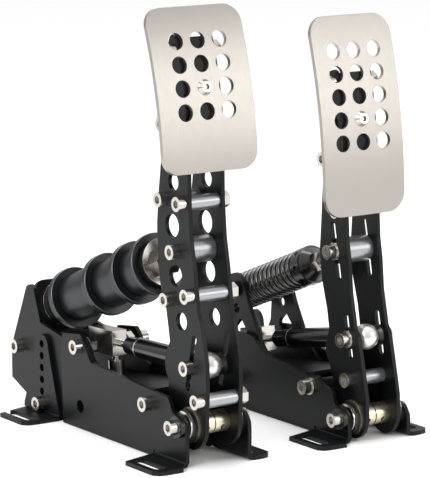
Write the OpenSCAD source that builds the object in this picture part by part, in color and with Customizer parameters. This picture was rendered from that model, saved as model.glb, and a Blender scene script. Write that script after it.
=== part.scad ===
// Sim racing pedal set: a brake and a throttle pedal, each bolted up from
// bent and cut sheet, standing side by side. Millimetres, +Z up, the driver
// sits on the -Y side. The floor is z = 0.

/* [Placement] */
// distance from the brake axle to the throttle axle, side to side
pedal_pitch = 128.6; // [110:0.1:160]
// how far the throttle axle stands in front of the brake axle
throttle_forward = 8; // [0:1:30]
// height of the brake axle over the floor
brake_axle_h = 27; // [26:0.5:32]
// height of the throttle axle over the floor
throttle_axle_h = 16; // [15.5:0.5:20]

/* [Sheet] */
// thickness of all cut and bent sheet
sheet = 3; // [2.5:0.1:3.5]
// inner radius of the bent feet
bend_r = 1.2; // [1:0.1:1.3]
// outside of each pedal arm plate, from the middle of its pedal
arm_half = 14.8; // [14:0.1:16]

/* [Feet] */
// how far a left foot reaches out from its side plate
foot_left = 28.3; // [26:0.1:34]
// how far a right foot reaches out from its side plate
foot_right = 16.5; // [15:0.1:26]
// length of a foot where it is bent
foot_len = 45; // [42:0.5:55]
// how much further the right side plates reach to the front
right_ahead = 7; // [0:0.5:7.5]
// where the feet slots stand from the outer edge of the foot
slot_in = 8.5; // [8:0.1:10]
// length of a foot slot, end to end
slot_len = 33; // [20:0.5:34]
// width of a foot slot
slot_w = 8.5; // [6.5:0.1:9]
// distance from front slot to rear slot
slot_pitch = 164.5; // [163:0.5:167]

/* [Pivot] */
// radius of the steel tube that the arm turns on
tube_r = 6; // [5:0.1:6.5]
// outer radius of the flanged bushings
bush_r = 7.5; // [7.2:0.1:9]
// radius of the bushing flange
flange_r = 12; // [10:0.5:13]
// thickness of the bushing flange
flange_t = 1.5; // [1:0.1:2]
// radius of the black thrust washers
black_washer_r = 11; // [9:0.5:12]
// thickness of each black thrust washer
black_washer_t = 1.6; // [1:0.1:2.5]
// radius of the outer steel washer
steel_washer_r = 10; // [9:0.5:12]
// thickness of the outer steel washer
steel_washer_t = 1.6; // [1:0.1:2.5]
// outer radius of the spacers between the arm plates
spacer_r = 5; // [4.5:0.1:6]
// outer radius of the black tubes between the base plates
cross_r = 6.2; // [5:0.1:6.5]

/* [Screws] */
// radius of the M6 shank
screw_r = 3; // [2.9:0.05:3]
// radius of a socket head
head_r = 5; // [4.5:0.1:5.5]
// height of a socket head
head_h = 6; // [4:0.5:6]
// distance across the flats of a nut
nut_af = 10; // [9:0.5:11]
// height of a nut
nut_h = 5; // [3:0.5:5.5]
// radius of the washers under screw heads
screw_washer_r = 6; // [5.5:0.1:6.5]
// radius of the washers under the heads of the axle bolts
axle_washer_r = 7.5; // [6:0.1:9]
// thickness of the washers under screw heads
screw_washer_t = 1.6; // [1:0.1:2]

/* [Face plates] */
// width of the brake face plate
brake_face_w = 75; // [65:1:85]
// height of the brake face plate
brake_face_h = 110; // [90:1:120]
// width of the throttle face plate
throttle_face_w = 67.5; // [58:0.5:80]
// height of the throttle face plate
throttle_face_h = 137; // [110:1:145]
// radius of the face plate holes
face_hole_r = 5.75; // [4:0.05:7]
// column spacing of the face plate holes
face_col = 17.2; // [14:0.1:19]
// row spacing of the face plate holes
face_row = 15.75; // [14:0.05:18]

/* [Rubber stack] */
// slope of the rubber stack, down to the rear, in degrees
stack_tilt = 21.2; // [18:0.1:24]
// radius of the thick collars between the rubbers
collar_r = 22; // [19:0.1:23]
// radius of a rubber where it is widest
rubber_r = 17.2; // [15:0.1:18.5]
// length of the front rubber
rubber_front_len = 23; // [18:0.1:25]
// length of the middle rubber
rubber_mid_len = 32; // [27:0.1:34]
// length of the rear rubber
rubber_rear_len = 42; // [36:0.1:44]
// thickness of the front collar
front_collar_t = 3.5; // [2.5:0.1:4.5]
// thickness of the collar behind the front rubber
second_collar_t = 5.5; // [4:0.1:7]
// thickness of the collar behind the middle rubber
third_collar_t = 5.5; // [4:0.1:7]
// thickness of the collar behind the rear rubber
rear_collar_t = 5; // [4:0.1:7]
// radius of the rod through the rubbers
stack_rod_r = 5; // [4:0.1:6]

/* [Throttle spring] */
// outer radius of the coil
coil_r = 13.5; // [11:0.1:14]
// radius of the spring wire
wire_r = 1.5; // [1:0.05:1.7]
// number of turns
spring_turns = 14; // [8:1:18]
// radius of the guide rod
guide_rod_r = 4; // [3:0.1:5]

/* [Dampers] */
// radius of the front part of a damper
damper_r = 7.15; // [6:0.05:9]
// radius of the rear part of a damper
damper_tail_r = 6.15; // [5:0.05:8]
// radius of the chrome rod
damper_rod_r = 2.5; // [2:0.1:3]
// radius of the round eye at the arm
eye_r = 9; // [8:0.1:10]

/* [Hidden] */
run_gap = 0.06;
fit_gap = 0.15;
// keeps touching washers apart as separate pieces
stack_gap = 0.03;
side_gap = 0.1;
press_gap = 0.02;
soft_gap = 0.3;
eye_gap = 0.4;
hub_gap = 0.5;
facets = 64;
// inside of each front side plate, from the middle of its pedal: the bushing
// flange, two black washers and a steel one stand between it and the arm
base_in = arm_half + flange_t + side_gap + 2 * (black_washer_t + stack_gap) + steel_washer_t;
base_half = base_in + sheet;
tower_in = base_in - sheet;
cross_half = tower_in - press_gap;
arm_in = arm_half - sheet;
brake_at = [(foot_left - foot_right - pedal_pitch) / 2, -98.75, brake_axle_h];
throttle_at = [brake_at[0] + pedal_pitch, brake_at[1] - throttle_forward, throttle_axle_h];
foot_front = -15.5;
slot_y = 7.5;
rear_foot_y = slot_y + slot_pitch - 20.5;
plate_front = -7.5;
hole_r = screw_r + fit_gap;
hub_at = [17, 114.2];
hub_back = 109.1;
seat_t0 = 71.2;
seat_t = 4;
function stack_point(t) = hub_at + (hub_back + t) * [cos(stack_tilt), -sin(stack_tilt)];
spring_at = [21.2, 112.4];
yoke_at = [131, 69];
spring_d = yoke_at - spring_at;
spring_tilt = -atan2(spring_d[1], spring_d[0]);
yoke_s = norm(spring_d);
brake_eye = [0.9, 38.3];
brake_stud = [116, 33.64];
throttle_eye = [5.4, 53.6];
throttle_stud = [124, 31.1];
brake_bolts = [[36.5, 8.5], [123.5, 32]];
brake_tail_bolts = [[174.5, 8.6 - brake_axle_h], [208.5, 17]];
throttle_bolts = [[34.2, 16.6]];
throttle_tail_bolts = [[168, 8.6 - throttle_axle_h]];
throttle_tower_bolt = [121, 7];
brake_arm_screws = [[20.3, 247], [27.6, 198.4], [31, 147.5], [9, 147.5], [24.5, 80.7],
  [-0.3, 87], [-12.1, 18]];
throttle_arm_screws = [[25.4, 228.5], [30, 175.5], [15.4, 141.5], [2.6, 25.9]];
deck_slope = 6.3;
brake_deck = [33, 19];
throttle_deck = [41, 24.6];
// how far the ball of a damper stud stands over its deck plate
function over_deck(stud, deck) =
  (stud[0] - deck[0]) * sin(deck_slope) + (stud[1] - deck[1]) * cos(deck_slope);
// half the width of a damper eye
eye_half = 7.5;
// middle, lean and bending radius of each face plate, and where it bends about
brake_mid = [5, 223.5];
brake_lean = 13;
brake_bend = 330;
throttle_mid = [12.5, 207];
throttle_lean = 9.5;
throttle_bend = 420;
// how far the middle screw of a face plate stands above its middle
brake_screw_up = 0.5;
throttle_screw_up = -3.05;
function bend_centre(mid, lean, r) = mid + r * [cos(lean), -sin(lean)];
// the rubber stack, along its axis: the fronts of the front rubber, of the
// second and third collars and of the rear collar
t3 = 0.5;
t2 = t3 - rubber_mid_len - second_collar_t;
t1 = t2 - rubber_front_len;
t4 = t3 + third_collar_t + rubber_rear_len;
front_hub_t = 3.8;
stack_washer_t = 2;
// the coil, along its axis from the arm pivot
spring_s0 = 58;
web_s = yoke_s + 25;
spring_len = web_s - 0.3 - spring_s0;
coil_mid = coil_r - wire_r;
coil_pitch = (spring_len - 2 * wire_r) / spring_turns;
coil_rings = spring_turns * 8;

black = [0.22, 0.22, 0.23];
steel = [0.8, 0.79, 0.77];
zinc = [0.72, 0.75, 0.8];
bronze = [0.75, 0.6, 0.35];
rubber = [0.1, 0.1, 0.1];

// helpers: 2D outlines are drawn as (y, z) and stand in the YZ plane
module at_brake() { translate(brake_at) children(); }
module at_throttle() { translate(throttle_at) children(); }
module slab(x0, x1) { translate([x0, 0, 0]) rotate([90, 0, 90]) linear_extrude(x1 - x0) children(); }
module dot(p, r, fn = facets) { translate(p) circle(r = r, $fn = fn); }
module rod_x(x0, x1, r, p) {
  translate([x0, p[0], p[1]]) rotate([0, 90, 0]) cylinder(r = r, h = x1 - x0, $fn = facets);
}
module tube_x(x0, x1, r, ri, p) {
  difference() {
    rod_x(x0, x1, r, p);
    rod_x(x0 - 1, x1 + 1, ri, p);
  }
}
module both() {
  children();
  mirror([1, 0, 0]) children();
}
// local z runs from point p down to the rear at the given slope
module along(p, slope) { translate([0, p[0], p[1]]) rotate([-90 - slope, 0, 0]) children(); }
module ring(z0, z1, r, ri) {
  translate([0, 0, z0]) difference() {
    cylinder(r = r, h = z1 - z0, $fn = facets);
    translate([0, 0, -1]) cylinder(r = ri, h = z1 - z0 + 2, $fn = facets);
  }
}
module slot(a, b, r) {
  d = b - a;
  dot(a, r);
  dot(b, r);
  translate(a) rotate(atan2(d[1], d[0])) translate([0, -r]) square([norm(d), 2 * r]);
}
// a slot with round ends of short straight steps, for the slits in the arms
module slit(a, b, r) {
  d = b - a;
  polygon(concat([for (t = [90 : 15 : 270]) a + r * turned(d, t)],
    [for (t = [-90 : 15 : 90]) b + r * turned(d, t)]));
}
function turned(d, t) = let (s = atan2(d[1], d[0]) + t) [cos(s), sin(s)];
module round_rect(w, h, r) {
  square([w - 2 * r, h], center = true);
  square([w, h - 2 * r], center = true);
  for (x = [-1, 1], y = [-1, 1]) dot([x * (w / 2 - r), y * (h / 2 - r)], r);
}
// an M6 socket screw from the left: head, shank, washers and nut
module screw_x(x0, x1, p, washers, washer_r = screw_washer_r, turn = 0) {
  w = screw_washer_t;
  xh = x0 - w * washers;
  difference() {
    union() {
      rod_x(xh - head_h, xh, head_r, p);
      rod_x(xh - 0.5, x1 + nut_h + 1, screw_r, p);
    }
    translate([xh - head_h - 1, p[0], p[1]]) rotate([0, 90, 0]) cylinder(r = 2.9, h = 4, $fn = 6);
  }
  for (i = [0 : 1 : washers - 1])
    tube_x(xh + i * w + stack_gap, xh + (i + 1) * w, washer_r, hole_r, p);
  difference() {
    translate([x1, p[0], p[1]]) rotate([0, 90, 0]) rotate(turn)
      cylinder(r = nut_af / sqrt(3), h = nut_h, $fn = 6);
    rod_x(x1 - 1, x1 + nut_h + 1, screw_r + run_gap, p);
  }
}

// one foot, right hand: bent strip from y1 on and slotted flange from y0 on,
// floor at z = 0
module foot(reach, y0, y1, len, mid) {
  out = base_half + reach;
  cx = base_half + bend_r;
  cz = sheet + bend_r;
  l = y0 + len - y1;
  translate([0, y0 + len, 0]) rotate([90, 0, 0]) linear_extrude(l) union() {
    translate([base_in, cz]) square([sheet, 1]);
    intersection() {
      difference() {
        dot([cx, cz], sheet + bend_r);
        dot([cx, cz], bend_r);
      }
      translate([base_in, 0]) square([sheet + bend_r, cz]);
    }
  }
  linear_extrude(sheet) difference() {
    polygon([[cx, y1], [cx + (y1 - y0) * 0.72, y0], [out - 8, y0], [out - 3, y0 + 1.2], [out, y0 + 5],
      [out, y0 + len - 7.5], [cx, y0 + len]]);
    slot([out - slot_in, mid - slot_len / 2 + slot_w / 2],
      [out - slot_in, mid + slot_len / 2 - slot_w / 2], slot_w / 2);
  }
}
module side_plate(reach, axle_h, ahead) {
  slab(base_in, base_half) children();
  translate([0, 0, -axle_h])
    foot(reach, foot_front, plate_front - ahead, foot_len, slot_y);
}
module rear_foot(reach, axle_h, tab_y, bolt_z) {
  top = 58.5 - axle_h;
  slab(base_in, base_half) difference() {
    union() {
      dot([tab_y, top - 8.5], 8.5);
      polygon([[tab_y - 8.5, top - 8.5], [tab_y + 8.5, top - 8.5], [tab_y + 8.5, 5 - axle_h],
        [max(tab_y - 22.5, rear_foot_y), 5 - axle_h]]);
    }
    for (i = [0 : 1 : 5]) dot([tab_y, bolt_z + 8.6 * i], i == 0 ? hole_r : 2.8);
  }
  translate([0, 0, -axle_h])
    foot(reach, rear_foot_y, rear_foot_y, slot_len + 8.5, slot_y + slot_pitch);
}

// brake base outlines
module brake_side_outline(ahead) {
  f = plate_front - ahead;
  difference() {
    polygon([[f, -22], [f, -5], [f + 0.6, -0.2], [f + 3.5, 3.8], [f + 6, 5.8], [f + 8.8, 6.6],
      [7.2, 7.4], [9.6, 10], [11, 13.5], [14, 17.1], [109.5, 23], [113.2, 27], [116.5, 33],
      [120.5, 38], [123.5, 40.6], [146, 37.7], [146.6, 36], [146.6, -26.5], [31, -26.5], [31, -22]]);
    dot([0, 0], hole_r);
    for (p = brake_bolts) dot(p, hole_r);
    dot([123.5, -10.8], 4.5);
  }
}
module brake_rear_outline() {
  difference() {
    polygon([[204, -26.5], [204, -23.3], [201.3, -16.3], [221, -8.3], [221, 7.7], [219, 19.7],
      [200, 61.4], [197.5, 63.3], [195, 63.7], [192.5, 63.2], [190, 61.7], [181, 38.2], [150, 33],
      [128, 38], [118, 33], [112, 24], [100, 18], [100, -26.5]]);
    for (p = brake_tail_bolts) dot(p, hole_r);
    dot([123.5, 32], hole_r);
    dot([123.5, -10.8], 4.5);
    for (n = [-5.6, 6.4]) translate(stack_point(seat_t0)) rotate(-stack_tilt)
      translate([-1, n - 4]) square([seat_t + 1, 8]);
  }
}
module throttle_side_outline(ahead) {
  f = plate_front - ahead;
  difference() {
    polygon([[f, -11], [f, -5], [f + 0.6, -0.2], [f + 3.5, 3.8], [f + 6, 5.8], [f + 8.8, 6.6],
      [5.5, 7.6], [8.5, 9.5], [9.8, 13], [10.6, 16.4], [21.6, 19.2], [30, 22.5], [45.6, 23.6],
      [89, 28.9], [95, 31], [100.8, 35.3], [105, 38.5], [115, 40], [135, 38], [146.6, 30],
      [146.6, -15.5], [31, -15.5], [31, -11]]);
    dot([0, 0], hole_r);
    dot(throttle_bolts[0], hole_r);
    dot(throttle_tower_bolt, hole_r);
  }
}
module throttle_rear_outline() {
  difference() {
    union() {
      polygon([[84, -15.5], [84, 20], [100.8, 35.3], [103.5, 40.1], [113.2, 56.7], [116.7, 64.3],
        [121.6, 73.7], [141, 67], [142, 53], [143, 40], [146, 34], [152, 28], [160, 27], [178, 24],
        [190, 10], [190, -8], [184, -15.5]]);
      dot([131, 70], 10.5);
    }
    dot(throttle_tower_bolt, hole_r);
    dot(throttle_tail_bolts[0], hole_r);
    dot(yoke_at, hole_r);
    dot([129.5, 55], 3.6);
    dot([124.5, 46], 2);
    polygon([[122.6, 46.6], [126.4, 46.6], [132, 41], [132, 37], [129.5, 34.5], [119.5, 34.5],
      [117, 37], [117, 41]]);
  }
}

// the lower half of a round end about the axle, clockwise from the right
function boss(r) = [for (a = [0 : -12 : -180]) r * [cos(a), sin(a)]];
module brake_arm_outline(bore) {
  difference() {
    polygon(concat(boss(17), [[-17.8, 27], [-17.3, 44], [-14.3, 57], [-10.3, 71], [-7.4, 77],
      [-3.3, 104], [0.8, 123.5], [3.1, 148], [3.6, 169], [6, 209.3], [9, 226], [12.7, 240],
      [17.2, 254], [19, 257.3], [21.2, 258.3], [24, 256.8], [25.6, 253], [28.5, 238], [32, 215],
      [34, 196], [35, 173], [38, 152], [40, 131], [40, 123], [38.6, 103], [35.5, 87], [29.4, 74],
      [26.5, 60], [25, 52], [29.5, 44], [31, 38], [30, 31], [26, 25], [27, 19], [22.5, 9]]));
    dot([0, 0], bore);
    for (p = brake_arm_screws) dot(p, hole_r);
    dot(hub_at, hole_r);
    dot([20.5, 160.5], 6);
    dot([22, 131], 8);
    dot([18, 98], 7.5);
    dot([11, 68], 6.2);
    dot([17, 181], 6);
    slit([-4, 58.5], [4, 24.5], 2.5);
    dot(brake_eye, hole_r);
  }
}
module throttle_arm_outline(bore) {
  difference() {
    polygon(concat(boss(15), [[-14.8, 14.5], [-12, 27.3], [-5, 56.7], [-1.3, 61.7], [4.3, 86.4],
      [6.3, 107.3], [8.9, 121], [10, 137.5], [13.4, 188.3], [15.3, 203], [17.9, 218],
      [21.1, 233], [22.6, 236.3], [25.2, 237.2], [28.5, 236], [31, 232.5], [34, 200],
      [35.8, 160], [37.7, 128.7], [39, 111], [36.4, 91], [30.2, 71], [27.5, 57], [30.5, 49],
      [31.6, 41], [27.2, 33.3], [19.4, 16]]));
    dot([0, 0], bore);
    for (p = throttle_arm_screws) dot(p, hole_r);
    slit([24.2, 130], [17, 95.5], 2.6);
    slit([8.4, 68], [3, 42.5], 2.6);
    slit([27, 165], [25, 150], 2.6);
    dot([22.5, 200], 5);
    dot(spring_at, hole_r);
    dot(throttle_eye, hole_r);
  }
}
module bracket_shape(z0, z1, r, centre, low, top) {
  intersection() {
    polygon([[-20, z0], [low - 2, z0], [low, z0 + 3], [low, z0 + 14], [top, z1 - 4], [top - 3, z1],
      [-20, z1]]);
    dot(centre, r, 720);
  }
}

// parts that both pedals share, each with its own sizes
module rear_pair() { both() slab(tower_in, base_in) children(); }
module deck(p, y1, tab) {
  th = sheet;
  l = (y1 - p[0]) / cos(deck_slope);
  difference() {
    union() {
      translate([0, p[0], p[1]]) rotate([-deck_slope, 0, 0]) translate([-tower_in, 0, -th])
        cube([2 * tower_in, l, th]);
      both() slab(tower_in - 0.01, base_in) difference() {
        union() {
          polygon([[p[0] + 0.4, p[1] - 0.2], [p[0] + 12.4, p[1] - 1.6], [p[0] + 12.4, p[1] - 9],
            [tab[0], tab[1] - 6.5], [tab[0] - 6.5, tab[1]]]);
          dot(tab, 6.5);
        }
        dot(tab, hole_r);
      }
    }
    children();
  }
}
module axle() {
  tube_x(-base_in, base_in, tube_r, hole_r, [0, 0]);
}
module washers() {
  a = arm_half + flange_t + side_gap;
  b = a + black_washer_t + stack_gap;
  c = b + black_washer_t + stack_gap;
  both() {
    tube_x(a, a + black_washer_t, black_washer_r, tube_r + fit_gap, [0, 0]);
    tube_x(b, b + black_washer_t, black_washer_r, tube_r + fit_gap, [0, 0]);
    tube_x(c, c + steel_washer_t, steel_washer_r, tube_r + fit_gap, [0, 0]);
  }
}
module bushing_pair() {
  both() difference() {
    union() {
      rod_x(0.4, arm_half, bush_r, [0, 0]);
      rod_x(arm_half, arm_half + flange_t, flange_r, [0, 0]);
    }
    rod_x(-1, arm_half + flange_t + 1, tube_r + run_gap, [0, 0]);
    for (a = [20, 110, 200, 290]) rotate([a, 0, 0]) translate([6, 0, 4]) cylinder(r = 1.6, h = 8, $fn = 24);
  }
}
module spacers(ps) {
  for (p = ps) tube_x(-arm_in, arm_in, spacer_r, hole_r, p);
}
module eye_washers(p) {
  both() translate([0, p[0], p[1]]) rotate([0, 90, 0]) difference() {
    union() {
      translate([0, 0, arm_in - 2]) cylinder(r = 7.5, h = 2, $fn = facets);
      translate([0, 0, eye_half + side_gap])
        cylinder(r1 = 5, r2 = 7.5, h = arm_in - 2 - eye_half - side_gap, $fn = facets);
    }
    translate([0, 0, eye_half - 1]) cylinder(r = hole_r, h = arm_in, $fn = facets);
  }
}
module face(mid, lean, r, w, h, corner, first, rows, screw_row) {
  translate([0, mid[0], mid[1]]) rotate([90 - lean, 0, 0]) intersection() {
    translate([0, 0, -r]) rotate([0, 90, 0]) difference() {
      cylinder(r = r, h = w + 2, center = true, $fn = 720);
      cylinder(r = r - sheet, h = w + 4, center = true, $fn = 720);
    }
    translate([0, 0, -20]) linear_extrude(30) difference() {
      round_rect(w, h, corner);
      for (i = [0 : 1 : rows - 1], k = [-1, 0, 1])
        dot([k * face_col, h / 2 - first - i * face_row],
          (i == screw_row && k == 0) ? hole_r : face_hole_r);
    }
  }
}
// button head screw and nut through a face plate, dz up from its middle
module face_screw(mid, lean, r, dz) {
  s = r - sqrt(r * r - dz * dz);
  translate([0, mid[0], mid[1]]) rotate([90 - lean, 0, 0]) translate([0, dz, -s]) {
    difference() {
      union() {
        cylinder(r1 = 5.4, r2 = 3.6, h = 3, $fn = facets);
        translate([0, 0, -16]) cylinder(r = screw_r, h = 16.5, $fn = facets);
      }
      translate([0, 0, 1.4]) cylinder(r = 2, h = 3, $fn = 6);
    }
    translate([0, 0, -13.5]) difference() {
      cylinder(r = nut_af / sqrt(3), h = nut_h, $fn = 6);
      translate([0, 0, -1]) cylinder(r = screw_r + run_gap, h = nut_h + 2, $fn = facets);
    }
  }
}
module bracket(z0, z1, low, top, screws, mid, lean, bend, dz) {
  centre = bend_centre(mid, lean, bend);
  r = bend - sheet - 0.1;
  difference() {
    slab(-arm_in, arm_in) bracket_shape(z0, z1, r, centre, low, top);
    slab(sheet - arm_in, arm_in - sheet) intersection() {
      translate([-40, z0 - 10]) square([120, z1 - z0 + 20]);
      dot(centre, r - sheet, 720);
    }
    for (p = screws) rod_x(-arm_half, arm_half, hole_r, p);
    translate([0, mid[0], mid[1]]) rotate([90 - lean, 0, 0]) translate([0, dz, -30])
      cylinder(r = hole_r, h = 40, $fn = facets);
  }
}
module damper(eye, stud, s_groove, s_end) {
  d = stud - eye;
  slope = -atan2(d[1], d[0]);
  difference() {
    union() {
      translate([0, eye[0], eye[1]]) intersection() {
        sphere(r = eye_r, $fn = facets);
        cube([2 * eye_half, 40, 40], center = true);
      }
      along(eye, slope) {
        translate([0, 0, 5]) cylinder(r = 4.5, h = 8, $fn = facets);
        translate([0, 0, 11]) cylinder(r = damper_r, h = s_groove - 11, $fn = facets);
        translate([0, 0, s_groove - 0.1])
          cylinder(r = damper_tail_r, h = s_end - s_groove + 0.1, $fn = facets);
      }
    }
    rod_x(-20, 20, screw_r + eye_gap, eye);
    along(eye, slope) translate([0, 0, 40]) cylinder(r = damper_rod_r + run_gap, h = 200, $fn = facets);
  }
}
module damper_stem(eye, stud, s_front) {
  d = stud - eye;
  along(eye, -atan2(d[1], d[0])) translate([0, 0, 58])
    cylinder(r = damper_rod_r, h = s_front - 58, $fn = facets);
}
module damper_block(eye, stud, s_front, s_back) {
  d = stud - eye;
  difference() {
    along(eye, -atan2(d[1], d[0])) translate([-5.75, -8.8, s_front]) cube([11.5, 17.6, s_back - s_front]);
    translate([0, stud[0], stud[1]]) sphere(r = 4.6, $fn = facets);
    off_deck(stud) translate([0, 0, -14]) cylinder(r = 3.6, h = 14, $fn = facets);
  }
}
// places local z square to the deck, with its origin at the ball
module off_deck(stud) { translate([0, stud[0], stud[1]]) rotate([-deck_slope, 0, 0]) children(); }
module ball_stud(stud, drop) {
  off_deck(stud) {
    sphere(r = 4.5, $fn = facets);
    translate([0, 0, 1 - drop]) cylinder(r = 2.5, h = drop - 1, $fn = facets);
    translate([0, 0, -drop]) cylinder(r = 5.5, h = drop - 12.5, $fn = facets);
    translate([0, 0, -drop - sheet - nut_h - 1])
      cylinder(r = screw_r, h = sheet + nut_h + 3, $fn = facets);
    translate([0, 0, -drop - sheet - nut_h]) difference() {
      cylinder(r = nut_af / sqrt(3), h = nut_h, $fn = 6);
      translate([0, 0, -1]) cylinder(r = screw_r + run_gap, h = nut_h + 2, $fn = facets);
    }
  }
}
module barrel(t0, len) {
  l = len - 2 * soft_gap;
  e = rubber_r - 0.5;
  translate([0, 0, t0 + soft_gap]) rotate_extrude($fn = facets)
    polygon([[stack_rod_r + soft_gap, 0], [e - 0.6, 0], [e, 0.6], [rubber_r, l * 0.3],
      [rubber_r, l * 0.7], [e, l - 0.6], [e - 0.6, l], [stack_rod_r + soft_gap, l]]);
}
// a turned collar with narrow bevels
module collar(z0, z1, r, ri) {
  rotate_extrude($fn = facets) polygon([[ri, z0], [r - 0.5, z0], [r, z0 + 0.5], [r, z1 - 0.5],
    [r - 0.5, z1], [ri, z1]]);
}

// brake nodes
module brake_side_plate_left() {
  color(black) at_brake() mirror([1, 0, 0])
    side_plate(foot_left, brake_axle_h, 0) brake_side_outline(0);
}
module brake_side_plate_right() {
  color(black) at_brake()
    side_plate(foot_right, brake_axle_h, right_ahead) brake_side_outline(right_ahead);
}
module brake_rear_plates() { color(black) at_brake() rear_pair() brake_rear_outline(); }
module brake_rear_feet() {
  color(black) at_brake() {
    mirror([1, 0, 0]) rear_foot(foot_left, brake_axle_h, 174.5, brake_tail_bolts[0][1]);
    rear_foot(foot_right, brake_axle_h, 174.5, brake_tail_bolts[0][1]);
  }
}
module brake_deck_plate() {
  color(black) at_brake() deck(brake_deck, 146, brake_bolts[0])
    off_deck(brake_stud) translate([0, 0, -50]) cylinder(r = hole_r, h = 50, $fn = facets);
}
module brake_base_bolts() {
  color(steel) at_brake() {
    screw_x(-base_half, base_half, [0, 0], 2, axle_washer_r);
    screw_x(-base_half, base_half, brake_bolts[0], 0);
    both() screw_x(-base_half, -tower_in, brake_bolts[1], 0);
    screw_x(-base_half, base_half, brake_tail_bolts[0], 0, turn = 30);
    screw_x(-base_in, base_in, brake_tail_bolts[1], 0);
  }
}
module brake_base_spacers() {
  color(black) at_brake() {
    tube_x(-cross_half, cross_half, cross_r, hole_r, brake_bolts[0]);
    tube_x(-cross_half, cross_half, spacer_r, hole_r, brake_tail_bolts[0]);
    tube_x(-cross_half, cross_half, cross_r, hole_r, brake_tail_bolts[1]);
  }
}
module brake_axle_tube() { color(steel) at_brake() axle(); }
module brake_thrust_washers() { color(black) at_brake() washers(); }
module brake_bushings() { color(bronze) at_brake() bushing_pair(); }
module brake_arm_plate_left() {
  color(black) at_brake() slab(-arm_half, -arm_in) brake_arm_outline(bush_r + press_gap);
}
module brake_arm_plate_right() {
  color(black) at_brake() slab(arm_in, arm_half) brake_arm_outline(bush_r + press_gap);
}
module brake_arm_spacers() {
  color(zinc) at_brake() {
    spacers([for (i = [2 : 1 : 6]) brake_arm_screws[i]]);
    eye_washers(brake_eye);
  }
}
module brake_arm_bolts() {
  color(steel) at_brake() {
    for (p = brake_arm_screws) screw_x(-arm_half, arm_half, p, 0);
    screw_x(-arm_half, arm_half, hub_at, 0);
    screw_x(-arm_half, arm_half, brake_eye, 0);
    face_screw(brake_mid, brake_lean, brake_bend, brake_screw_up);
  }
}
module brake_face_bracket() {
  color(black) at_brake() bracket(190, 256, 33, 22, [brake_arm_screws[0], brake_arm_screws[1]],
    brake_mid, brake_lean, brake_bend, brake_screw_up);
}
module brake_face_plate() {
  color(steel) at_brake()
    face(brake_mid, brake_lean, brake_bend, brake_face_w, brake_face_h, 12.5, 23, 4, 2);
}
module brake_damper_body() { color(black) at_brake() damper(brake_eye, brake_stud, 84, 96); }
module brake_damper_rod() { color(steel) at_brake() damper_stem(brake_eye, brake_stud, 109.2); }
module brake_damper_block() {
  color(steel) at_brake() damper_block(brake_eye, brake_stud, 109.2, 140.2);
}
module brake_damper_stud() {
  color(steel) at_brake() ball_stud(brake_stud, over_deck(brake_stud, brake_deck));
}

// the rubber stack, placed along its own axis
module on_stack() { at_brake() along(hub_at, stack_tilt) translate([0, 0, hub_back]) children(); }
module brake_pivot_hub() {
  color(zinc) at_brake() difference() {
    rod_x(-arm_in + 0.3, arm_in - 0.3, 9, hub_at);
    rod_x(-20, 20, screw_r + run_gap, hub_at);
    along(hub_at, stack_tilt) translate([0, 0, 5])
      cylinder(r = stack_rod_r + press_gap, h = 10, $fn = facets);
  }
}
module brake_stack_rod() {
  color(steel) on_stack() translate([0, 0, 5 - hub_back])
    cylinder(r = stack_rod_r, h = hub_back + 35, $fn = facets);
}
module brake_stack_nut() {
  z = t1 - front_collar_t - front_hub_t;
  color(steel) on_stack() {
    ring(z - stack_washer_t, z, 16.6, stack_rod_r + run_gap);
    difference() {
      translate([0, 0, z - stack_washer_t - 7]) cylinder(r = 10.4, h = 7 - stack_gap, $fn = 6);
      translate([0, 0, z - stack_washer_t - 8]) cylinder(r = stack_rod_r + run_gap, h = 9, $fn = facets);
    }
  }
}
module brake_disc_front() {
  color(black) on_stack() {
    collar(t1 - front_collar_t, t1, collar_r, stack_rod_r + run_gap);
    ring(t1 - front_collar_t - front_hub_t, t1 - 1, 15.5, stack_rod_r + run_gap);
  }
}
module brake_disc_second() {
  color(black) on_stack() collar(t2, t2 + second_collar_t, collar_r, stack_rod_r + run_gap);
}
module brake_disc_third() {
  color(black) on_stack() collar(t3, t3 + third_collar_t, collar_r, stack_rod_r + run_gap);
}
module brake_disc_rear() {
  color(black) on_stack() collar(t4, t4 + rear_collar_t, collar_r, stack_rod_r + 2);
}
module brake_rubber_front() { color(rubber) on_stack() barrel(t1, rubber_front_len); }
module brake_rubber_middle() { color(rubber) on_stack() barrel(t2 + second_collar_t, rubber_mid_len); }
module brake_rubber_rear() { color(rubber) on_stack() barrel(t3 + third_collar_t, rubber_rear_len); }
module brake_load_cell() {
  z = t4 + rear_collar_t;
  color(black) on_stack() difference() {
    ring(z, seat_t0 - 2, 15, 4 + run_gap);
    translate([0, 0, z - 1]) cylinder(r = stack_rod_r + 2, h = 6, $fn = facets);
  }
}
module brake_seat_washer() { color(steel) on_stack() ring(seat_t0 - 2, seat_t0, 16.6, 4 + fit_gap); }
module brake_seat_bolt() {
  color(steel) on_stack() {
    translate([0, 0, seat_t0 - 9]) cylinder(r = 4, h = seat_t + 18, $fn = facets);
    difference() {
      translate([0, 0, seat_t0 + seat_t]) cylinder(r = 7.5, h = 6.5, $fn = 6);
      translate([0, 0, seat_t0 + seat_t - 1]) cylinder(r = 4 + run_gap, h = 9, $fn = facets);
    }
  }
}
module brake_seat_plate() {
  color(black) on_stack() translate([0, 0, seat_t0]) linear_extrude(seat_t) difference() {
    union() {
      translate([-tower_in, -12]) square([2 * tower_in, 32]);
      translate([-tower_in + 6, -19]) square([2 * tower_in - 12, 8]);
      for (s = [-1, 1]) dot([s * (tower_in - 6), -13], 6);
      for (n = [-5.6, 6.4]) translate([-base_in, -n - 3.9]) square([2 * base_in, 7.8]);
    }
    dot([0, 0], 4 + fit_gap);
  }
}

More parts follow.
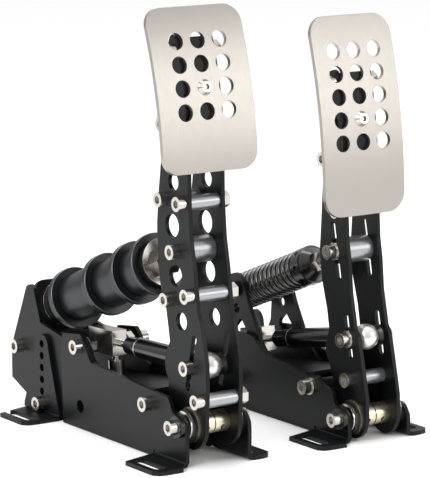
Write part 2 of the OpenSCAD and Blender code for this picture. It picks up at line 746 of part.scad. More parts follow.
// throttle nodes
module throttle_side_plate_left() {
  color(black) at_throttle() mirror([1, 0, 0])
    side_plate(foot_left, throttle_axle_h, 0) throttle_side_outline(0);
}
module throttle_side_plate_right() {
  color(black) at_throttle()
    side_plate(foot_right, throttle_axle_h, right_ahead) throttle_side_outline(right_ahead);
}
module throttle_rear_plates() { color(black) at_throttle() rear_pair() throttle_rear_outline(); }
module throttle_rear_feet() {
  color(black) at_throttle() {
    mirror([1, 0, 0]) rear_foot(foot_left, throttle_axle_h, 168, throttle_tail_bolts[0][1]);
    rear_foot(foot_right, throttle_axle_h, 168, throttle_tail_bolts[0][1]);
  }
}
module throttle_deck_plate() {
  color(black) at_throttle() deck(throttle_deck, 150, throttle_bolts[0])
    off_deck(throttle_stud) translate([0, 0, -50]) cylinder(r = hole_r, h = 50, $fn = facets);
}
module throttle_base_bolts() {
  color(steel) at_throttle() {
    screw_x(-base_half, base_half, [0, 0], 2, axle_washer_r);
    screw_x(-base_half, base_half, throttle_bolts[0], 2);
    both() screw_x(-base_half, -tower_in, throttle_tower_bolt, 0);
    screw_x(-base_half, base_half, throttle_tail_bolts[0], 0, turn = 30);
  }
}
module throttle_base_spacers() {
  color(black) at_throttle() {
    tube_x(-cross_half, cross_half, 4.5, hole_r, throttle_bolts[0]);
    tube_x(-cross_half, cross_half, spacer_r, hole_r, throttle_tail_bolts[0]);
  }
}
module throttle_axle_tube() { color(steel) at_throttle() axle(); }
module throttle_thrust_washers() { color(black) at_throttle() washers(); }
module throttle_bushings() { color(bronze) at_throttle() bushing_pair(); }
module throttle_arm_plate_left() {
  color(black) at_throttle() slab(-arm_half, -arm_in) throttle_arm_outline(bush_r + press_gap);
}
module throttle_arm_plate_right() {
  color(black) at_throttle() slab(arm_in, arm_half) throttle_arm_outline(bush_r + press_gap);
}
module throttle_arm_spacers() {
  color(zinc) at_throttle() {
    spacers([for (i = [2 : 1 : 3]) throttle_arm_screws[i]]);
    eye_washers(throttle_eye);
  }
}
module throttle_arm_bolts() {
  color(steel) at_throttle() {
    for (p = throttle_arm_screws) screw_x(-arm_half, arm_half, p, 0);
    screw_x(-arm_half, arm_half, spring_at, 1);
    screw_x(-arm_half, arm_half, throttle_eye, 1);
    face_screw(throttle_mid, throttle_lean, throttle_bend, throttle_screw_up);
  }
}
module throttle_face_bracket() {
  color(black) at_throttle() bracket(168, 235, 34, 27, [throttle_arm_screws[0], throttle_arm_screws[1]],
    throttle_mid, throttle_lean, throttle_bend, throttle_screw_up);
}
module throttle_face_plate() {
  color(steel) at_throttle()
    face(throttle_mid, throttle_lean, throttle_bend, throttle_face_w, throttle_face_h, 14, 24.3, 5, 3);
}
module throttle_damper_body() { color(black) at_throttle() damper(throttle_eye, throttle_stud, 88, 103.5); }
module throttle_damper_rod() { color(steel) at_throttle() damper_stem(throttle_eye, throttle_stud, 115.6); }
module throttle_damper_block() {
  color(steel) at_throttle() damper_block(throttle_eye, throttle_stud, 115.6, 143);
}
module throttle_damper_stud() {
  color(steel) at_throttle() ball_stud(throttle_stud, over_deck(throttle_stud, throttle_deck));
}

// the throttle spring unit, placed along its own axis from the arm pivot
module on_spring() { at_throttle() along(spring_at, spring_tilt) children(); }
module throttle_pivot_hub() {
  color(zinc) at_throttle() difference() {
    rod_x(-arm_in + 0.3, arm_in - 0.3, 9, spring_at);
    rod_x(-20, 20, screw_r + hub_gap, spring_at);
    along(spring_at, spring_tilt) translate([0, 0, 5])
      cylinder(r = guide_rod_r + press_gap, h = 10, $fn = facets);
  }
}
module throttle_guide_rod() {
  color(steel) on_spring() translate([0, 0, 5])
    cylinder(r = guide_rod_r, h = web_s + 2, $fn = facets);
}
module throttle_preload_collar() {
  color(black) on_spring() {
    difference() {
      union() {
        translate([0, 0, 41]) cylinder(r1 = 8.5, r2 = 12.8, h = 7, $fn = facets);
        translate([0, 0, 48]) cylinder(r = 13.8, h = spring_s0 - 48 - 0.3, $fn = facets);
      }
      translate([0, 0, 40]) cylinder(r = guide_rod_r + run_gap, h = 30, $fn = facets);
      for (a = [0 : 45 : 315]) rotate([0, 0, a]) translate([9, 0, 52.6]) rotate([0, 90, 0])
        cylinder(r = 1.7, h = 8, $fn = 24);
    }
    difference() {
      translate([0, 0, 35]) cylinder(r = 7.5, h = 6 - stack_gap, $fn = 6);
      translate([0, 0, 34]) cylinder(r = guide_rod_r + run_gap, h = 8, $fn = facets);
    }
  }
}
function coil_centre(i) = [coil_mid * cos(45 * i), coil_mid * sin(45 * i),
  spring_s0 + wire_r + coil_pitch * i / 8];
function coil_point(i, j) = coil_centre(i)
  + wire_r * cos(60 * j) * [cos(45 * i), sin(45 * i), 0]
  + wire_r * sin(60 * j) * [0, 0, 1];
module throttle_spring() {
  n = coil_rings;
  color(black) on_spring() polyhedron(
    points = [for (i = [0 : 1 : n], j = [0 : 1 : 5]) coil_point(i, j)],
    faces = concat(
      [for (i = [0 : 1 : n - 1], j = [0 : 1 : 5]) [6 * i + j, 6 * i + 6 + j, 6 * i + (j + 1) % 6]],
      [for (i = [0 : 1 : n - 1], j = [0 : 1 : 5])
        [6 * i + (j + 1) % 6, 6 * i + 6 + j, 6 * i + 6 + (j + 1) % 6]],
      [for (j = [1 : 1 : 4]) [0, j, j + 1]],
      [for (j = [1 : 1 : 4]) [6 * n, 6 * n + j + 1, 6 * n + j]]),
    convexity = 20);
}
// least gap of the coil to itself, measured between its points
echo(spring_gap = min([for (i = [0 : 1 : coil_rings - 8], k = [6 : 1 : 10], j = [0 : 1 : 5],
  m = [0 : 1 : 5]) if (i + k <= coil_rings) norm(coil_point(i, j) - coil_point(i + k, m))]));
module throttle_spring_yoke() {
  color(black) on_spring() difference() {
    union() {
      both() translate([tower_in - 3.5, 0, 0]) {
        translate([0, -8, yoke_s]) cube([3, 16, 29]);
        translate([0, 0, yoke_s]) rotate([0, 90, 0]) cylinder(r = 8, h = 3, $fn = facets);
      }
      translate([-tower_in + 1, -8, web_s]) cube([2 * tower_in - 2, 16, 4]);
      translate([0, 0, web_s]) cylinder(r = 14, h = 4, $fn = facets);
    }
    translate([0, 0, yoke_s]) rotate([0, 90, 0])
      cylinder(r = screw_r + run_gap, h = 60, center = true, $fn = facets);
    translate([0, 0, web_s - 1]) cylinder(r = guide_rod_r + run_gap, h = 6, $fn = facets);
  }
}
module throttle_yoke_bolts() {
  color(black) at_throttle() both() difference() {
    union() {
      rod_x(tower_in - 3.3, base_in + 1, screw_r, yoke_at);
      rod_x(base_in, base_in + 3, 5.5, yoke_at);
    }
    translate([base_in + 1.4, yoke_at[0], yoke_at[1]]) rotate([0, 90, 0]) cylinder(r = 2, h = 4, $fn = 6);
  }
}

brake_side_plate_left();
brake_side_plate_right();
brake_rear_plates();
brake_rear_feet();
brake_deck_plate();
brake_base_bolts();
brake_base_spacers();
brake_axle_tube();
brake_thrust_washers();
brake_bushings();
brake_arm_plate_left();
brake_arm_plate_right();
brake_arm_spacers();
brake_arm_bolts();
brake_face_bracket();
brake_face_plate();
brake_damper_body();
brake_damper_rod();
brake_damper_block();
brake_damper_stud();
brake_pivot_hub();
brake_stack_rod();
brake_stack_nut();
brake_disc_front();
brake_disc_second();
brake_disc_third();
brake_disc_rear();
brake_rubber_front();
brake_rubber_middle();
brake_rubber_rear();
brake_load_cell();
brake_seat_plate();
brake_seat_washer();
brake_seat_bolt();
throttle_side_plate_left();
throttle_side_plate_right();
throttle_rear_plates();
throttle_rear_feet();
throttle_deck_plate();
throttle_base_bolts();
throttle_base_spacers();
throttle_axle_tube();
throttle_thrust_washers();
throttle_bushings();
throttle_arm_plate_left();
throttle_arm_plate_right();
throttle_arm_spacers();
throttle_arm_bolts();
throttle_face_bracket();
throttle_face_plate();
throttle_damper_body();
throttle_damper_rod();
throttle_damper_block();
throttle_damper_stud();
throttle_pivot_hub();
throttle_guide_rod();
throttle_preload_collar();
throttle_spring();
throttle_spring_yoke();
throttle_yoke_bolts();
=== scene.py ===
# %% [markdown]
# # Sim racing pedal set
#
# A brake pedal and a throttle pedal, bolted up from black coated sheet. The CAD
# model gives every plate, screw and tube its place. This lesson dresses it: it
# gives each piece its material, makes the rubbers and the spring as the soft
# and wound pieces they are, and lights and frames the set like the photo.

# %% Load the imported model
import math

import bpy
from mathutils import Matrix, Vector


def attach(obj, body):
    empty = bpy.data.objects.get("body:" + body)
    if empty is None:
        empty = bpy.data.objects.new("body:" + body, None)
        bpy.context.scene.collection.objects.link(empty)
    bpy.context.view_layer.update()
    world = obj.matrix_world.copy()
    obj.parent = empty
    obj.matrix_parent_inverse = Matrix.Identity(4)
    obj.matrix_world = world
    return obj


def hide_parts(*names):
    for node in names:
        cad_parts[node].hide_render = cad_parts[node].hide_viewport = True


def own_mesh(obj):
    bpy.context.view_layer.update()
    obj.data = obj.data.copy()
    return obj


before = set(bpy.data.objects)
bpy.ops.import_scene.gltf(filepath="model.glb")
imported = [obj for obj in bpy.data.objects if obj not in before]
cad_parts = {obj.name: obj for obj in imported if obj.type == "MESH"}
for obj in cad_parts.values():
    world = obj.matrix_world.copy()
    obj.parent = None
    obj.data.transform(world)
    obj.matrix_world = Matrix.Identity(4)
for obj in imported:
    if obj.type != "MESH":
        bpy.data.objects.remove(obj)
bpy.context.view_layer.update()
MM = 0.001
# the centres of the two arms' axles, in millimetres
BRAKE = Vector((-58.4, -98.75, 27))
THROTTLE = Vector((70.2, -106.75, 16))

# %% [markdown]
# ## Materials
#
# A designer writes colours as sRGB hex, but Blender reckons in linear light, so
# one function turns the one into the other. One more adds a shader node with its
# settings and its links, so each finish below reads as a short list of nodes.

# %% Helpers for materials
def linear(hex_colour):
    """sRGB hex to linear RGBA."""
    out = []
    for i in (1, 3, 5):
        c = int(hex_colour[i:i + 2], 16) / 255
        out.append(c / 12.92 if c <= 0.04045 else ((c + 0.055) / 1.055) ** 2.4)
    return (*out, 1.0)


def add(tree, kind, inputs=None, **settings):
    """Adds one node; an input is a value, or the output that feeds it."""
    node = tree.nodes.new(kind)
    for key, value in settings.items():
        setattr(node, key, value)
    for key, value in (inputs or {}).items():
        if isinstance(value, bpy.types.NodeSocket):
            tree.links.new(value, node.inputs[key])
        else:
            node.inputs[key].default_value = value
    return node


print("black coat in linear light:", [round(v, 4) for v in linear("#0b0c0e")])

# %% [markdown]
# Sheet metal, screws and rubber differ in a few things only: their colour, how
# much they mirror, a softly broken edge, a fine grain and painted shade in the
# hollows of a socket. So one recipe serves them all, and a look is a list of
# numbers for it. The painted shade comes from ambient occlusion, which finds
# where a point is closed in and darkens the colour there. The edge comes from
# the Bevel node, which rounds the shading only and leaves the CAD's mesh as it is.

# %% One recipe for a surface
# the reach and the limits of the painted shade in hollows
HOLLOW_REACH = 3.0 * MM           # how far a point looks for walls round it
HOLLOW_FROM, HOLLOW_TO = 0.2, 0.6  # openness that counts as dark, and as clear
GRAIN_DEPTH = 0.05 * MM
LACQUER_SHEEN = 0.06              # roughness of a clear gloss coat
COLOUR_A, COLOUR_B = 6, 7         # the colour sockets of a Mix node set to RGBA


def surface(tree, look, other=None, mask=None):
    """A Principled surface for a look.

    Where the mask is 1 it takes the colour, metallic and roughness of the other look.
    """
    colour, metallic = linear(look["colour"]), look["metallic"]
    roughness, normal = look["roughness"], None
    # painted shade: the colour goes darker where ambient occlusion finds a point closed in, in
    # sockets, holes and where parts meet
    if "hollow_shade" in look:
        hollow = add(tree, "ShaderNodeAmbientOcclusion", {"Distance": HOLLOW_REACH}, samples=8)
        clear = add(tree, "ShaderNodeMapRange", {
            0: hollow.outputs["AO"], "From Min": HOLLOW_FROM, "From Max": HOLLOW_TO})
        colour = add(tree, "ShaderNodeMix", {
            0: clear.outputs[0], COLOUR_A: linear(look["hollow_shade"]), COLOUR_B: colour},
            data_type="RGBA").outputs[2]
    if "edge" in look:
        normal = add(tree, "ShaderNodeBevel", {"Radius": look["edge"] * MM}, samples=6).outputs[0]
    if "grain_scale" in look:
        coord = add(tree, "ShaderNodeTexCoord")
        scale = add(tree, "ShaderNodeMapping", {
            "Vector": coord.outputs["Object"], "Scale": look.get("stretch", (1, 1, 1))})
        noise = add(tree, "ShaderNodeTexNoise", {
            "Vector": scale.outputs[0], "Scale": look["grain_scale"], "Detail": 3.0})
        bump = add(tree, "ShaderNodeBump", {
            "Strength": look["grain"], "Distance": GRAIN_DEPTH, "Height": noise.outputs[0]})
        if normal:
            tree.links.new(normal, bump.inputs["Normal"])
        normal = bump.outputs[0]
        if "vary" in look and mask is None:
            roughness = add(tree, "ShaderNodeMapRange", {
                0: noise.outputs[0], "To Min": look["roughness"] - look["vary"],
                "To Max": look["roughness"] + look["vary"]}).outputs[0]
    if mask is not None:
        colour = add(tree, "ShaderNodeMix", {
            0: mask, COLOUR_A: colour, COLOUR_B: linear(other["colour"])},
            data_type="RGBA").outputs[2]
        metallic, roughness = [add(tree, "ShaderNodeMapRange", {
            0: mask, "To Min": look[part], "To Max": other[part]}).outputs[0]
            for part in ("metallic", "roughness")]
    bsdf = add(tree, "ShaderNodeBsdfPrincipled", {
        "Base Color": colour, "Metallic": metallic, "Roughness": roughness,
        "Coat Weight": look.get("coat", 0.0), "Coat Roughness": LACQUER_SHEEN,
        "Specular IOR Level": look.get("specular", 0.5)})
    if normal:
        tree.links.new(normal, bsdf.inputs["Normal"])
    return bsdf


def new_material(name):
    """An empty material, its node tree and its output node."""
    mat = bpy.data.materials.new(name)
    mat.use_nodes = True
    mat.node_tree.nodes.clear()
    return mat, mat.node_tree, add(mat.node_tree, "ShaderNodeOutputMaterial")


def finish(name, look):
    """A material with the same look all over."""
    mat, tree, out = new_material(name)
    tree.links.new(surface(tree, look).outputs[0], out.inputs[0])
    return mat


print("a point looks", HOLLOW_REACH / MM, "mm round it for hollows")

# %% [markdown]
# Some CAD nodes hold pieces of two finishes, such as a nut beside a black
# collar. They could be cut into two objects, but the CAD's meshes stay whole
# here, so the material tells the pieces apart by where they lie. A region is a
# stretch of a tube: a point on its axis, the axis, the stretch and two radii.

# %% Two finishes in one node
def region_mask(tree, centre, axis, low, high, inner, outer):
    """1 inside the stretch of tube, 0 outside; all sizes in millimetres."""
    coord = add(tree, "ShaderNodeTexCoord")
    offset = add(tree, "ShaderNodeVectorMath", {
        0: coord.outputs["Object"], 1: tuple(Vector(centre) * MM)},
        operation="SUBTRACT").outputs[0]
    along = add(tree, "ShaderNodeVectorMath", {0: offset, 1: tuple(axis)},
                operation="DOT_PRODUCT").outputs["Value"]
    far2 = add(tree, "ShaderNodeVectorMath", {0: offset, 1: offset},
               operation="DOT_PRODUCT").outputs["Value"]
    along2 = add(tree, "ShaderNodeMath", {0: along, 1: along}, operation="MULTIPLY").outputs[0]
    # the square of the distance from the axis
    away2 = add(tree, "ShaderNodeMath", {0: far2, 1: along2}, operation="SUBTRACT").outputs[0]
    limits = [(along, low * MM, "GREATER_THAN"), (along, high * MM, "LESS_THAN"),
              (away2, (outer * MM) ** 2, "LESS_THAN")]
    if inner:
        limits.append((away2, (inner * MM) ** 2, "GREATER_THAN"))
    mask = None
    for value, limit, test in limits:
        inside = add(tree, "ShaderNodeMath", {0: value, 1: limit}, operation=test).outputs[0]
        if mask is not None:
            inside = add(tree, "ShaderNodeMath", {0: mask, 1: inside},
                         operation="MULTIPLY").outputs[0]
        mask = inside
    return mask


def parted(name, look, other, regions):
    """A material with a second finish inside the regions."""
    mat, tree, out = new_material(name)
    mask = None
    for region in regions:
        inside = region_mask(tree, *region)
        if mask is not None:
            inside = add(tree, "ShaderNodeMath", {0: mask, 1: inside},
                         operation="MAXIMUM").outputs[0]
        mask = inside
    tree.links.new(surface(tree, look, other, mask).outputs[0], out.inputs[0])
    return mat


print("helpers ready for plain and for mixed nodes")

# %% [markdown]
# The plates are steel sheet with a powder coat: a plastic skin, near black,
# satin, with a fine orange-peel grain. It is a dielectric, so metallic is 0, and
# a low specular level keeps the sides dark under a white sky. The face plates
# are bare stainless sheet. Brushing leaves lines along the plate, so the grain
# is drawn out along it and squeezed across it. grain_scale counts grains in a
# metre, and edge is the radius of the broken edge in millimetres.

# %% Sheet finishes
# powder coat: 0.7 mm grains, coarser than the real ones so that they show
COAT_LOOK = dict(colour="#0b0c0e", metallic=0.0, roughness=0.36, specular=0.2, grain=0.12,
                 grain_scale=1400, edge=0.35)
# brushed stainless: lines 0.4 mm wide and about 10 mm long, a soft warm mirror
FACE_LOOK = dict(colour="#aba6a0", metallic=1.0, roughness=0.34, grain=1.0, grain_scale=300,
                 stretch=(9, 0.35, 0.35), edge=0.35, vary=0.08)
COATED = finish("black_powder_coated_steel", COAT_LOOK)
FACE = finish("brushed_stainless_sheet", FACE_LOOK)
print("sheet finishes:", COATED.name, FACE.name)

# %% [markdown]
# Screws and turned pieces are bright stainless steel, clean, with painted shade
# in their sockets. The spacer tubes are zinc plated: a greyer, cloudy mirror with
# faint streaks along the tube. The bushings are pressed from bronze powder, which
# leaves them pale and a little dull. The screws of the yoke are blackened.

# %% Metal finishes
# cold headed stainless: faint lines run along the screw, with painted shade in the sockets
SCREW_LOOK = dict(colour="#c6c2bb", metallic=1.0, roughness=0.22, edge=0.25, grain=0.5,
                  grain_scale=1500, stretch=(0.02, 1, 1), hollow_shade="#1c1a18")
# the turned steel, the zinc and the bronze also get painted shade in their hollows
STEEL_LOOK = dict(colour="#b9b5ae", metallic=1.0, roughness=0.2, edge=0.25, hollow_shade="#1c1a18")
# zinc plate: 2 mm clouds, eight times as long, under a thin dull film
ZINC_LOOK = dict(colour="#a2a4a6", metallic=0.85, roughness=0.3, vary=0.14, grain=0.5,
                 grain_scale=500, stretch=(0.12, 1, 1), edge=0.2, hollow_shade="#16181c")
BRONZE_LOOK = dict(colour="#e3d8bd", metallic=1.0, roughness=0.28, edge=0.15, hollow_shade="#2a2416")
CHROME_LOOK = dict(colour="#e6e6e6", metallic=1.0, roughness=0.08)
EYE_LOOK = dict(colour="#e2e0dc", metallic=0.85, roughness=0.3)
# blackened steel: an oiled oxide skin, dark and smooth
BLACK_STEEL = dict(colour="#0d0d0f", metallic=0.0, roughness=0.3, edge=0.2)
SCREW = finish("stainless_screws", SCREW_LOOK)
STEEL = finish("turned_stainless_steel", STEEL_LOOK)
ZINC = finish("bright_zinc_plated_steel", ZINC_LOOK)
BRONZE = finish("sintered_bronze", BRONZE_LOOK)
CHROME = finish("polished_piston_rod_chrome", CHROME_LOOK)
YOKE_STEEL = finish("blackened_shoulder_screws", BLACK_STEEL)
print("metal finishes:", [m.name for m in (SCREW, STEEL, ZINC, BRONZE, CHROME, YOKE_STEEL)])

# %% [markdown]
# The rubbers are moulded elastomer, with a soft grey sheen and a grain of about
# 1.4 mm, coarser than the real one so that it shows. The collars between
# them are turned and black, with a thin painted highlight, a lighter line, at
# the front rim. The spring and the damper tubes have a hard gloss paint, so they
# get a clear coat over black.

# %% Black finishes
RUBBER_LOOK = dict(colour="#101215", metallic=0.0, roughness=0.34, specular=0.45, grain=0.04,
                   grain_scale=700)
COLLAR_LOOK = dict(colour="#0c0d0f", metallic=0.0, roughness=0.3, specular=0.45, edge=0.2)
# painted highlight: the lighter colour of the line at each collar's front rim
RIM_HIGHLIGHT_LOOK = dict(colour="#44464b", metallic=0.0, roughness=0.25)
SPRING_LOOK = dict(colour="#09090a", metallic=0.0, roughness=0.16, coat=1.0, specular=0.8)
DAMPER_LOOK = dict(colour="#0c0c0d", metallic=0.0, roughness=0.2, edge=0.2, coat=0.3)
RUBBER = finish("black_elastomer", RUBBER_LOOK)
SPRING = finish("gloss_black_spring_steel", SPRING_LOOK)
print("materials:", len(bpy.data.materials))

# %% [markdown]
# The mixed ones need the axes of the rubber stack, the spring and the dampers.
# All of them run back and down from the arms, so each is a point on the arm and
# a slope, in (y, z) from the pedal's axle, in millimetres.

# %% The axes of the set
def downhill(start, end):
    """Slope, length and unit axis of a line that runs back and down, in (y, z)."""
    d = Vector(end) - Vector(start)
    axis = (0, d[0] / d.length, d[1] / d.length)
    return math.degrees(-math.atan2(d[1], d[0])), d.length, axis


def at(base, y, z):
    """The point (y, z) from a pedal's axle, in the row's millimetres."""
    return base + Vector((0, y, z))


HUB, HUB_BACK, STACK_TILT = (17, 114.2), 109.1, 21.2
STACK_AXIS = (0, math.cos(math.radians(STACK_TILT)), -math.sin(math.radians(STACK_TILT)))
SPRING_AT, YOKE_PIVOT = (21.2, 112.4), (131, 69)
SPRING_TILT, SPRING_RUN, SPRING_AXIS = downhill(SPRING_AT, YOKE_PIVOT)


def on_stack(t):
    """A point on the stack's axis, in millimetres; t counts back along it."""
    return at(BRAKE, *HUB) + (HUB_BACK + t) * Vector(STACK_AXIS)


print("spring slopes", round(SPRING_TILT, 1), "degrees, the stack", STACK_TILT)

# %% [markdown]
# Each damper has a bright eye on a black tube, with one thin groove round it,
# and black washers beside the eye, between the bright spacer tubes. The axle
# screw has two black washers under its head, and the outer thrust washers are
# bare steel. On the real thing these are separate pieces of two finishes.

# %% Mixed nodes on both pedals
X_AXIS = (1, 0, 0)
AXLE = (0, 0)
CLEAR_R = 12                      # wider than any tube or washer here
EYE_R, EYE_HALF = 9.4, 9
EYE_WASHER_R, ARM_OUTSIDE = 9, 20
GROOVE_FROM, GROOVE_TO = -3.2, -2.2
STEEL_WASHER_IN, STEEL_WASHER_OUT = 19.64, 22
HEAD_R, HEAD_WASHER_R = 5.06, 9   # the washers show outside the screw's head
SCREW_TAIL = 30


def side_region(base, p, x0, x1, inner, outer):
    """A stretch about a cross line at p, from x0 to x1 of its pedal."""
    return (at(base, *p), X_AXIS, x0, x1, inner, outer)


# axle, eye, stud, and how far down the tube the groove lies
DAMPERS = {"brake": (BRAKE, (0.9, 38.3), (116, 33.64), 84),
           "throttle": (THROTTLE, (5.4, 53.6), (124, 31.1), 88)}
PARTED = {}
for name, (base, eye, stud, groove) in DAMPERS.items():
    axis = downhill(eye, stud)[2]
    PARTED[name + "_damper_body"] = parted(
        name + "_damper_tube", DAMPER_LOOK, EYE_LOOK,
        [side_region(base, eye, -EYE_HALF, EYE_HALF, 0, EYE_R),
         (at(base, *eye), axis, groove + GROOVE_FROM, groove + GROOVE_TO, 0, CLEAR_R)])
    PARTED[name + "_arm_spacers"] = parted(
        name + "_spacers_and_eye_washers", ZINC_LOOK, BLACK_STEEL,
        [side_region(base, eye, -ARM_OUTSIDE, ARM_OUTSIDE, 0, EYE_WASHER_R)])
    PARTED[name + "_base_bolts"] = parted(
        name + "_base_screws", SCREW_LOOK, BLACK_STEEL,
        [side_region(base, AXLE, -SCREW_TAIL, 0, HEAD_R, HEAD_WASHER_R)])
    PARTED[name + "_thrust_washers"] = parted(
        name + "_axle_washers", BLACK_STEEL, SCREW_LOOK,
        [side_region(base, AXLE, -STEEL_WASHER_OUT, -STEEL_WASHER_IN, 0, CLEAR_R),
         side_region(base, AXLE, STEEL_WASHER_IN, STEEL_WASHER_OUT, 0, CLEAR_R)])
print("mixed nodes so far:", len(PARTED))

# %% [markdown]
# Each black collar of the stack gets a fine painted highlight at its front rim:
# a lighter line where the turned edge would catch the light. The nut in front of
# the preload collar is bright steel, while the collar and its cap are black.

# %% Mixed nodes of the stack and the spring
# where each collar starts along the stack
COLLARS = {"front": -63.5, "second": -37, "third": 0.5, "rear": 48}
# the ring of painted highlight at each collar's front rim
RIM_FROM, RIM_TO, RIM_IN, RIM_OUT = -0.1, 0.5, 21.5, 23
NUT_FROM, NUT_TO = 30, 40.99      # along the guide rod, before the collar's face
for name, t0 in COLLARS.items():
    PARTED["brake_disc_" + name] = parted(
        "brake_collar_" + name, COLLAR_LOOK, RIM_HIGHLIGHT_LOOK,
        [(on_stack(t0), STACK_AXIS, RIM_FROM, RIM_TO, RIM_IN, RIM_OUT)])
PARTED["throttle_preload_collar"] = parted(
    "preload_collar_and_nut", DAMPER_LOOK, SCREW_LOOK,
    [(at(THROTTLE, *SPRING_AT), SPRING_AXIS, NUT_FROM, NUT_TO, 0, CLEAR_R)])
print("mixed nodes:", sorted(PARTED))

# %% [markdown]
# Each CAD node that stays in view takes one of these, by what it is made of.
# The first word that a node's name holds decides, and what no word names is
# coated steel, as most of the set is.

# %% Paint the CAD nodes
WORDS = [
    ("face_plate", FACE), ("bushings", BRONZE), ("arm_spacers", ZINC),
    ("pivot_hub", ZINC), ("yoke_bolts", YOKE_STEEL), ("bolts", SCREW),
    ("axle_tube", STEEL), ("stack_rod", STEEL), ("stack_nut", STEEL),
    ("seat_washer", STEEL), ("seat_bolt", STEEL), ("damper_rod", CHROME),
    ("damper_block", STEEL), ("damper_stud", STEEL), ("guide_rod", STEEL),
]


def material_for(name):
    if name in PARTED:
        return PARTED[name]
    for word, mat in WORDS:
        if word in name:
            return mat
    return COATED


for name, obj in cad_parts.items():
    mat = material_for(name)
    obj.data.materials.clear()
    obj.data.materials.append(mat)
print("painted", len(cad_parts), "nodes")

# %% [markdown]
# ## The rubber stack
#
# Three rubber barrels sit on one rod that slopes down to the rear, between
# thick collars. A cylinder would look like pipe, because a loaded rubber swells.
# So each is turned about that rod from an outline with round ends and a body
# that swells a little.

# %% Turned shapes along a sloping axis
def axis_frame(origin, slope):
    """Places local z from origin down to the rear at the slope, in degrees."""
    turn = Matrix.Rotation(math.radians(-90 - slope), 4, "X")
    return Matrix.Translation(Vector((0, origin[0], origin[1]))) @ turn


def place(mesh, base, local):
    """Takes a mesh in millimetres about its own axis to its place in the row."""
    mesh.transform(Matrix.Translation(base * MM) @ Matrix.Scale(MM, 4) @ local)


def smooth_object(name, mesh, mat):
    """An object with smooth shading and one material."""
    for poly in mesh.polygons:
        poly.use_smooth = True
    obj = bpy.data.objects.new(name, mesh)
    bpy.context.scene.collection.objects.link(obj)
    mesh.materials.append(mat)
    return obj


def lathe(name, outline, base, local, mat, steps=128):
    """Turns a closed outline of (radius, z) about local z."""
    verts, faces = [], []
    n = len(outline)
    for i in range(steps):
        a = 2 * math.pi * i / steps
        verts += [(r * math.cos(a), r * math.sin(a), z) for r, z in outline]
    for i in range(steps):
        j = (i + 1) % steps
        for k in range(n):
            m = (k + 1) % n
            faces.append((i * n + k, j * n + k, j * n + m, i * n + m))
    mesh = bpy.data.meshes.new(name)
    mesh.from_pydata(verts, [], faces)
    place(mesh, base, local)
    mesh.validate()
    return smooth_object(name, mesh, mat)


print("a lathe for the rubbers is ready")

# %% [markdown]
# The outline of a rubber is its two rounded ends, its swelling side and its
# bore. The bore is wide enough for the rod, which tilts a little as the pedal
# goes down. Each rubber rides on the piece it leans on. On the real pedal it is
# squashed along the rod; keep is the share of its length that is left at the
# joint's limit.

# %% The rubbers
STACK = axis_frame(HUB, STACK_TILT) @ Matrix.Translation((0, 0, HUB_BACK))
BORE = 5.8
GAP = 0.3                         # clear of the collars before and behind
END_R, END_ROUND, SWELL = 16.7, 0.9, 0.5
ROUND_STEPS, SIDE_STEPS = 6, 20


def barrel_outline(z0, z1):
    """A rubber tube with softly rounded ends that swells a little."""
    ends, side = [], []
    for i in range(ROUND_STEPS + 1):
        a = math.radians(90 / ROUND_STEPS * i)
        ends.append((END_R - END_ROUND + END_ROUND * math.sin(a),
                     z0 + END_ROUND - END_ROUND * math.cos(a)))
    for i in range(1, SIDE_STEPS):
        u = i / SIDE_STEPS
        side.append((END_R + SWELL * math.sin(math.pi * u),
                     z0 + END_ROUND + u * (z1 - z0 - 2 * END_ROUND)))
    back = [(r, z0 + z1 - z) for r, z in reversed(ends)]
    return ends + side + back + [(BORE, z1), (BORE, z0)]


# name, CAD node, start and end along the stack, body, joint, keep
RUBBERS = [
    ("rubber_barrel_front", "brake_rubber_front", -60, -37, "brake_disc_two",
     "brake_second_disc_slide", 0.861),
    ("rubber_barrel_middle", "brake_rubber_middle", -31.5, 0.5, "brake_disc_three",
     "brake_third_disc_slide", 0.872),
    ("rubber_barrel_rear", "brake_rubber_rear", 6, 48, "frame", "brake_third_disc_slide", 0.871),
]
for name, node, t0, t1, body, joint, keep in RUBBERS:
    obj = lathe(name, barrel_outline(t0 + GAP, t1 - GAP), BRAKE, STACK, RUBBER)
    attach(obj, body)
    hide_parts(node)
    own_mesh(obj)
    print(name, "length", round(t1 - t0, 1), "mm")

# %% [markdown]
# ## The throttle spring
#
# One unbroken round wire, wound about the guide rod from the preload collar to
# the yoke. Stacked rings would look alike from afar, but a real spring climbs,
# so the wire's section is carried along a helix. On the real pedal the coil
# closes up toward the yoke when the pedal goes down.

# %% The coil
COIL_START = 58.0                 # along the rod from the arm, behind the collar
YOKE_WEB = 25                     # from the yoke's pivot back to its web
COIL_END = SPRING_RUN + YOKE_WEB - GAP
WIRE_R, COIL_R, TURNS = 1.5, 12.0, 14


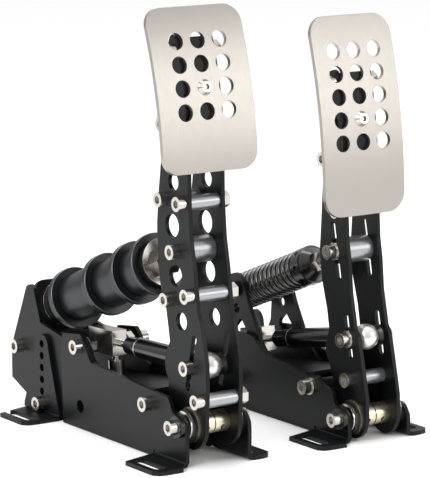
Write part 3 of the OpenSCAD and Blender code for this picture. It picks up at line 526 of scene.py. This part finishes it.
def coil(name, mat, steps=40, sides=14):
    """Carries the wire's round section along a helix and caps both ends."""
    verts, faces = [], []
    pitch = (COIL_END - COIL_START - 2 * WIRE_R) / TURNS
    n = TURNS * steps
    lift = math.atan2(pitch, 2 * math.pi * COIL_R)
    for i in range(n + 1):
        a = 2 * math.pi * i / steps
        out = Vector((math.cos(a), math.sin(a), 0))
        along = Vector((-math.sin(a), math.cos(a), 0))
        up = Vector((0, 0, 1)) * math.cos(lift) - along * math.sin(lift)
        mid = out * COIL_R + Vector((0, 0, COIL_START + WIRE_R + pitch * i / steps))
        for j in range(sides):
            b = 2 * math.pi * j / sides
            verts.append(mid + WIRE_R * (math.cos(b) * out + math.sin(b) * up))
    for i in range(n):
        for j in range(sides):
            k = (j + 1) % sides
            faces.append((i * sides + j, i * sides + k, (i + 1) * sides + k, (i + 1) * sides + j))
    faces.append(tuple(range(sides))[::-1])
    faces.append(tuple(n * sides + j for j in range(sides)))
    mesh = bpy.data.meshes.new(name)
    mesh.from_pydata([tuple(v) for v in verts], [], faces)
    place(mesh, THROTTLE, axis_frame(SPRING_AT, SPRING_TILT))
    return smooth_object(name, mesh, mat)


spring = coil("throttle_coil_spring", SPRING)
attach(spring, "throttle_yoke")
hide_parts("throttle_spring")
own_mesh(spring)
print("spring length", round(COIL_END - COIL_START, 1), "mm")

# %% [markdown]
# ## Stage, light and camera
#
# The photo is a cut-out on white under soft studio light from the upper left.
# The floor is white paper and the sky brightens with height, so that bare metal
# shows a light top and a darker foot. Blender's usual view softens white to
# grey, so the plain Standard view is set, and the lights are weak to suit it.

# %% Floor and world
PAPER_LOOK = dict(colour="#fafafa", metallic=0.0, roughness=0.95, specular=0.1)
bpy.ops.mesh.primitive_plane_add(size=12, location=(0, 0, 0))
floor = bpy.context.object
floor.name = "studio_floor"
floor.data.materials.append(finish("studio_paper", PAPER_LOOK))

bpy.context.scene.view_settings.view_transform = "Standard"
world = bpy.data.worlds.new("studio")
bpy.context.scene.world = world
world.use_nodes = True
sky = world.node_tree
SKY_LOW, SKY_HIGH = 0.45, 1.25    # strength at the horizon and overhead
direction = add(sky, "ShaderNodeTexCoord")
height = add(sky, "ShaderNodeSeparateXYZ", {0: direction.outputs["Generated"]})
level = add(sky, "ShaderNodeMapRange", {0: height.outputs[2], "From Min": 0.0, "From Max": 1.0,
                                        "To Min": SKY_LOW, "To Max": SKY_HIGH})
sky.links.new(level.outputs[0], sky.nodes["Background"].inputs[1])
sky.nodes["Background"].inputs[0].default_value = (1, 1, 1, 1)
print("sky from", SKY_LOW, "to", SKY_HIGH)

# %% [markdown]
# Four soft boxes stand round the set: a key from the left, a weak fill from the
# front right, one overhead for the tops of the tubes, and a narrow strip that
# draws a bright line down the rounded pieces.

# %% Lights
def area_light(name, place_at, target, size, power):
    """A soft box that faces its target."""
    light = bpy.data.lights.new(name, "AREA")
    light.shape = "RECTANGLE"
    light.size, light.size_y = size
    light.energy = power
    obj = bpy.data.objects.new(name, light)
    bpy.context.scene.collection.objects.link(obj)
    obj.location = place_at
    obj.rotation_euler = (Vector(target) - Vector(place_at)).to_track_quat("-Z", "Y").to_euler()


# name, where it stands, what it looks at, width and height in metres, watts
LIGHTS = [
    ("key_softbox", (-1.5, -0.5, 1.2), (0, 0, 0.12), (0.7, 0.9), 15),
    ("front_softbox", (1.1, -1.7, 0.7), (0, 0, 0.14), (0.8, 0.9), 7),
    ("top_softbox", (0.1, 0.3, 1.6), (0, 0, 0.1), (0.9, 0.9), 13),
    ("left_strip", (-1.7, -1.3, 0.35), (0, 0, 0.14), (0.2, 1.0), 5),
]
for light in LIGHTS:
    area_light(*light)
print("lights:", len(LIGHTS))

# %% [markdown]
# The camera's place, turn and lens were found by laying the edges of the plates
# and the arms over the photo until they agreed. It stands to the left, a little
# above the pads, with a long lens.

# %% Camera
CAMERA_MM = (-1144.9, -1680.35, 501.2)
CAMERA_DOWN, CAMERA_TURN = 10.35, -34.6    # degrees below level, and about z
camera_data = bpy.data.cameras.new("camera")
camera_data.sensor_width = 36
camera_data.lens = 222.9
camera_data.clip_end = 50
camera = bpy.data.objects.new("camera", camera_data)
bpy.context.scene.collection.objects.link(camera)
camera.location = Vector(CAMERA_MM) * MM
camera.rotation_euler = (math.radians(90 - CAMERA_DOWN), 0, math.radians(CAMERA_TURN))
bpy.context.scene.camera = camera
print("camera", tuple(round(v, 3) for v in camera.location))
